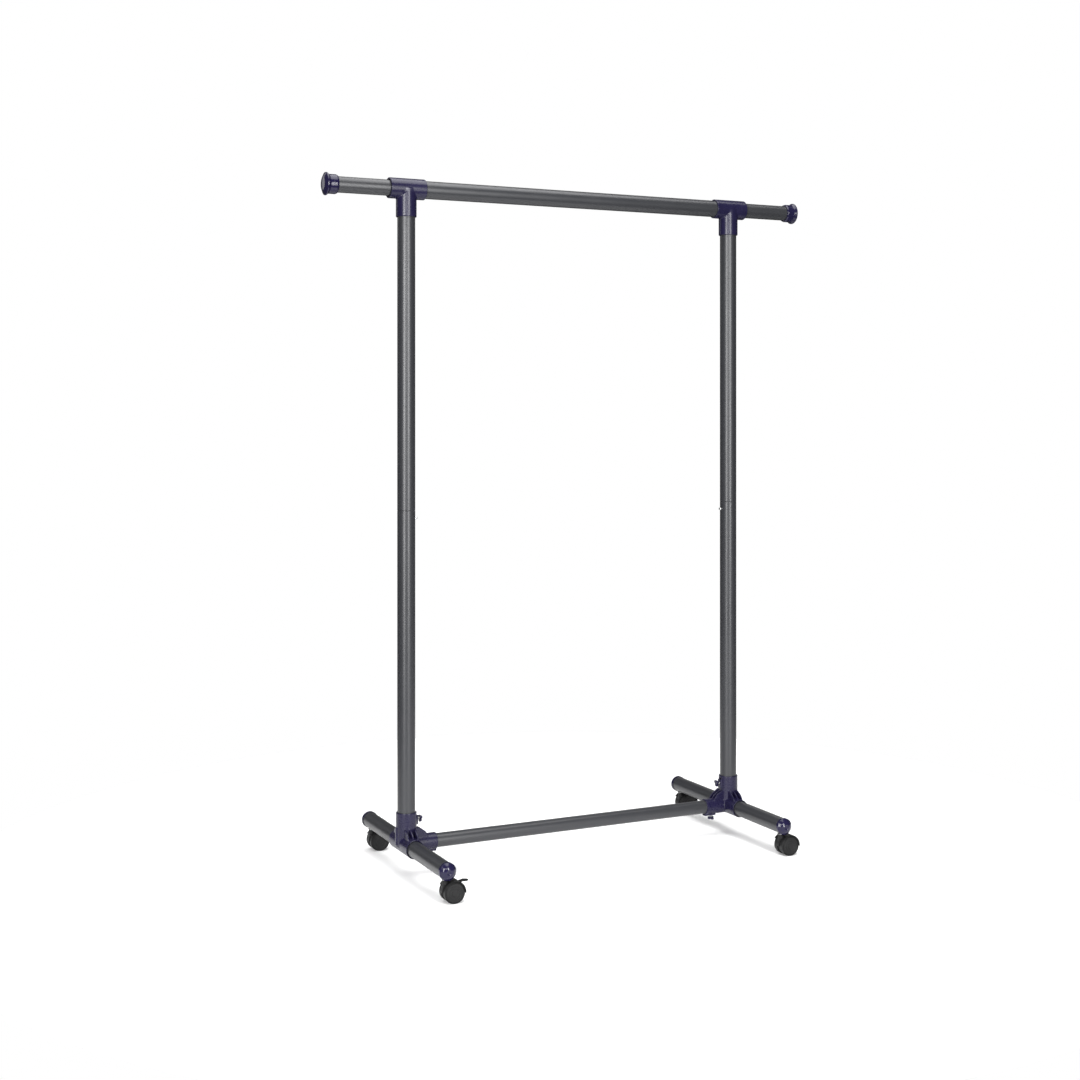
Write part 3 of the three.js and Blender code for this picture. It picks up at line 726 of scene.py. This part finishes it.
def stem_socket():
    foot, top = low("stem_socket_front_left", Z), high("stem_socket_front_left", Z)
    bore, sleeve, flange = STEM_R + GAP, 5, 7.5
    flange_top = foot + 1.1
    return turned([
        (bore, foot, 0.2), (flange, foot, 0.4), (flange, flange_top, 0.2), (sleeve, flange_top, 0.2),
        (sleeve, top, 0.4), (bore, top, 0.2),
    ], SMALL_SIDES)


def axle():
    return turned([(0, -14), (3, -14, 0.5), (3, 14, 0.5), (0, 14)], SMALL_SIDES)


def wheel():
    """Wheel made about +Z, inner face first, with a groove round its disc and rings turned in it."""
    width = WHEEL_WIDTH
    bore, depth = 3.3, 14 + GAP - WHEEL_IN
    return turned([
        (bore, 0, 0.3), (8, 0, 0.4), (9, 1.2, 0.4), (17.5, 1.2, 0.4), (18.5, 0, 0.4), (WHEEL_R, 0, 0.7),
        (WHEEL_R, width - 1.6, 1.0), (WHEEL_R - 0.9, width - 0.6, 0.5), (20.3, width - 0.6, 0.25),
        (20.0, width - 2.4, 0.25), (19.2, width - 2.4, 0.25), (18.9, width - 0.5, 0.4),
        (14.4, width - 0.25, 0.3), (14.0, width - 0.75, 0.25), (13.3, width - 0.75, 0.25),
        (12.9, width - 0.2, 0.3), (8.6, width - 0.1, 0.3), (8.2, width - 0.6, 0.25),
        (7.5, width - 0.6, 0.25), (7.1, width - 0.05, 0.3), (0, width), (0, depth), (bore, depth, 0.3),
    ], FITTING_SIDES)


# ---------------------------------------------------------------- building the rack


def build_rail():
    rail = turned([
        (POST_R - WALL, low("main_rail", X), 0.22), (POST_R, low("main_rail", X), 0.22),
        (POST_R, high("main_rail", X), 0.22), (POST_R - WALL, high("main_rail", X), 0.22),
    ])
    piece("main_rail", rail, at(0, 0, RAIL_Z) @ facing((1, 0, 0)))
    bar = tube(BAR_R, low("crossbar", X), high("crossbar", X))
    piece("crossbar", bar, at(0, 0, LEG_Z) @ facing((1, 0, 0)))


def build_side(side, turn, moulded):
    """One side, drawn as the left one and turned into place."""
    put = Matrix.Rotation(turn, 4, "Z")
    outwards = facing((-1, 0, 0))
    start = -high("rail_extension_left", X)
    end = -low("rail_extension_left", X)
    piece(f"rail_extension_{side}", tube(SLIM_R, start, end), put @ at(0, 0, RAIL_Z) @ outwards)
    glide = at(high("extension_glide_left", X), 0, RAIL_Z) @ outwards
    piece(f"extension_glide_{side}", glide_plug(), put @ glide)
    cap = at(high("rail_end_cap_left", X), 0, RAIL_Z) @ outwards
    piece(f"rail_end_cap_{side}", rail_end_cap(), put @ cap)
    piece(f"tee_{side}", moulded["tee"], put @ at(POST_X, 0, RAIL_Z))

    post = put @ at(POST_X, 0, 0)
    upper = piece(f"upper_post_{side}", upper_post(), post)
    foot = low("lower_post_left", Z)
    lower_tube = tube(POST_R, foot, SEAM_Z, BUTTON_LOOPS, 0.7)
    lower = piece(f"lower_post_{side}", lower_tube, post)
    centre = post @ Vector((0, 0, BUTTON_Z))
    rim = post @ Vector((POST_R + 4, 0, BUTTON_Z))
    for half_post in (upper, lower):
        drilled(half_post, BUTTON_HOLE_R, centre, rim)
    bend = low("snap_button_left", Z)
    piece(f"snap_button_{side}", moulded["button"], post @ at(0, 0, bend))

    piece(f"base_connector_{side}", moulded["base"], put @ at(POST_X, 0, LEG_Z))
    along_leg = put @ at(POST_X, 0, LEG_Z) @ facing((0, 1, 0))
    leg = piece(f"leg_{side}", tube(SLIM_R, -LEG_END_HALF, LEG_END_HALF), along_leg)
    for y in (-STEM_Y, STEM_Y):
        top = put @ Vector((POST_X, y, LEG_Z))
        below = put @ Vector((POST_X, y, LEG_Z - SLIM_R - 4))
        drilled(leg, SOCKET_HOLE_R, below, top)

    post_tip = at(low("post_screw_left", X), 0, LEG_Z + POST_SCREW_Z)
    bar_tip = at(POST_X + BAR_SCREW_X, 0, high("crossbar_screw_left", Z))
    screws = (
        ("post_screw", X, post_tip @ facing((1, 0, 0))),
        ("crossbar_screw", Z, bar_tip @ facing((0, 0, -1))),
    )
    for name, axis, place in screws:
        node = f"{name}_{side}"
        length = high(f"{name}_left", axis) - low(f"{name}_left", axis)
        shank = length - KNOB_THICK + 2
        piece(node, moulded["knob"], put @ place @ at(0, 0, length - KNOB_THICK))
        piece(node, screw_shank(shank), put @ place, f"{node}_shank", "zinc_steel")


def build_corner(corner, moulded):
    across, along = CORNERS[corner]
    x, y = -across * STEM_X, along * STEM_Y
    outwards = facing((0, along, 0))
    piece(f"leg_cap_{corner}", leg_cap(), at(x, along * LEG_END_HALF, LEG_Z) @ outwards)
    piece(f"stem_socket_{corner}", stem_socket(), at(x, y, 0))
    piece(f"caster_stem_{corner}", stem(), at(x, y, 0))
    hub = at(x + TRAIL, y, AXLE_Z)
    braked = corner in BRAKED
    piece(f"caster_hood_{corner}", moulded["braked_hood" if braked else "hood"], hub)
    piece(f"caster_axle_{corner}", axle(), hub @ facing((0, 1, 0)))
    for end, sign in (("outer", along), ("inner", -along)):
        place = hub @ at(0, sign * WHEEL_IN, 0) @ facing((0, sign, 0))
        piece(f"wheel_{end}_{corner}", wheel(), place)
    if braked:
        piece(f"brake_lever_{corner}", moulded["lever"], hub)


def build_rack():
    tee_box = (-TEE_HALF, -TEE_R, -TEE_DROP), (TEE_HALF, TEE_R, TEE_R)
    base_box = (-FIN_REACH, -SLEEVE_HALF, -25), (BAR_MOUTH, SLEEVE_HALF, SOCKET_TOP)
    reach = HOOD_R + 1
    hood_box = (-reach, -18, -21), (reach, 18, reach)
    moulded = {
        "tee": netted(tee_field, *tee_box, MESH_CELL),
        "base": netted(base_field, *base_box, MESH_CELL),
        "button": netted(button_field, (13, -5, -1), (25, 5, 53), 0.3),
        "knob": netted(knob_field, (-9, -9, 0), (9, 9, KNOB_THICK), 0.4),
        "lever": netted(lever_field, (8, -8, 7), (36, 8, 22), 0.4),
        "hood": netted(lambda x, y, z: hood_field(x, y, z, False), *hood_box, 0.5),
        "braked_hood": netted(lambda x, y, z: hood_field(x, y, z, True), *hood_box, 0.5),
    }
    build_rail()
    for side, turn in SIDES.items():
        build_side(side, turn, moulded)
    for corner in CORNERS:
        build_corner(corner, moulded)


def finish_kept_nodes():
    """Gives the CAD nodes that stay their finish."""
    for node, obj in frame["nodes"].items():
        if obj.hide_render:
            continue
        if not obj.data.materials:
            obj.data.materials.append(None)
        for slot in obj.material_slots:
            slot.material = FINISH[SLOT_OF[node]]


# ---------------------------------------------------------------- stage


def add_camera():
    """Camera to the left of the front, level, with its shift framing the whole rack."""
    data = bpy.data.cameras.new("camera")
    data.lens = 53.96
    data.shift_x = -0.0204
    data.shift_y = -0.1167
    camera = bpy.data.objects.new("camera", data)
    camera.location = (-1.6154, -3.2247, 0.977)
    camera.rotation_euler = (math.radians(90), 0, math.radians(-26.148))
    bpy.context.scene.collection.objects.link(camera)
    bpy.context.scene.camera = camera


def add_softbox(name, place, target, size, power):
    data = bpy.data.lights.new(name, "AREA")
    data.shape = "RECTANGLE"
    data.size, data.size_y = size
    data.energy = power
    lamp = bpy.data.objects.new(name, data)
    lamp.location = place
    lamp.rotation_euler = (Vector(target) - Vector(place)).to_track_quat("-Z", "Y").to_euler()
    bpy.context.scene.collection.objects.link(lamp)


def add_lights():
    """Two tall strips and a level one in front for the bands along the tubes, two boxes behind,
    a wide one overhead and a white surround."""
    reach, height = 3.5, 1.25
    for name, angle, power in (("left_strip", -50, 115), ("right_strip", 5, 115)):
        turn = math.radians(angle)
        place = (reach * math.sin(turn), -reach * math.cos(turn), height)
        add_softbox(name, place, (0, 0, height), (0.3, 2.3), power)
    add_softbox("level_strip", (-1.55, -3.15, 1.75), (0, 0, 0.9), (3.0, 0.2), 60)
    for name, x in (("rear_left_box", -1.9), ("rear_right_box", 1.9)):
        add_softbox(name, (x, 2.9, 2.3), (0, 0, 0.8), (0.9, 1.5), 6)
    add_softbox("top_box", (-0.2, -0.2, 4.2), (0, 0, 0), (4.0, 3.4), 235)
    world = bpy.data.worlds.new("studio")
    world.use_nodes = True
    nodes, links = world.node_tree.nodes, world.node_tree.links
    soft = nodes["Background"]
    soft.inputs["Color"].default_value = (1, 1, 1, 1)
    soft.inputs["Strength"].default_value = 0.11
    backdrop = nodes.new("ShaderNodeBackground")
    backdrop.inputs["Color"].default_value = (1, 1, 1, 1)
    backdrop.inputs["Strength"].default_value = 1.0
    path = nodes.new("ShaderNodeLightPath")
    seen = nodes.new("ShaderNodeMixShader")
    links.new(path.outputs["Is Camera Ray"], seen.inputs["Fac"])
    links.new(soft.outputs["Background"], seen.inputs[1])
    links.new(backdrop.outputs["Background"], seen.inputs[2])
    links.new(seen.outputs["Shader"], nodes["World Output"].inputs["Surface"])
    bpy.context.scene.world = world
    bpy.context.scene.view_settings.view_transform = "Standard"


def add_floor():
    material, _, _, shader = node_tree("studio_floor")
    shader.inputs["Base Color"].default_value = (0.96, 0.96, 0.96, 1)
    shader.inputs["Roughness"].default_value = 0.85
    steps, reach = 128, 1.35
    angles = [2 * math.pi * k / steps for k in range(steps)]
    rim = [(reach * math.cos(a), reach * math.sin(a), 0) for a in angles]
    mesh = bpy.data.meshes.new("floor")
    mesh.from_pydata(rim, [], [list(range(steps))])
    mesh.materials.append(material)
    floor = bpy.data.objects.new("floor", mesh)
    bpy.context.scene.collection.objects.link(floor)


add_camera()
add_lights()
add_floor()
build_rack()
finish_kept_nodes()
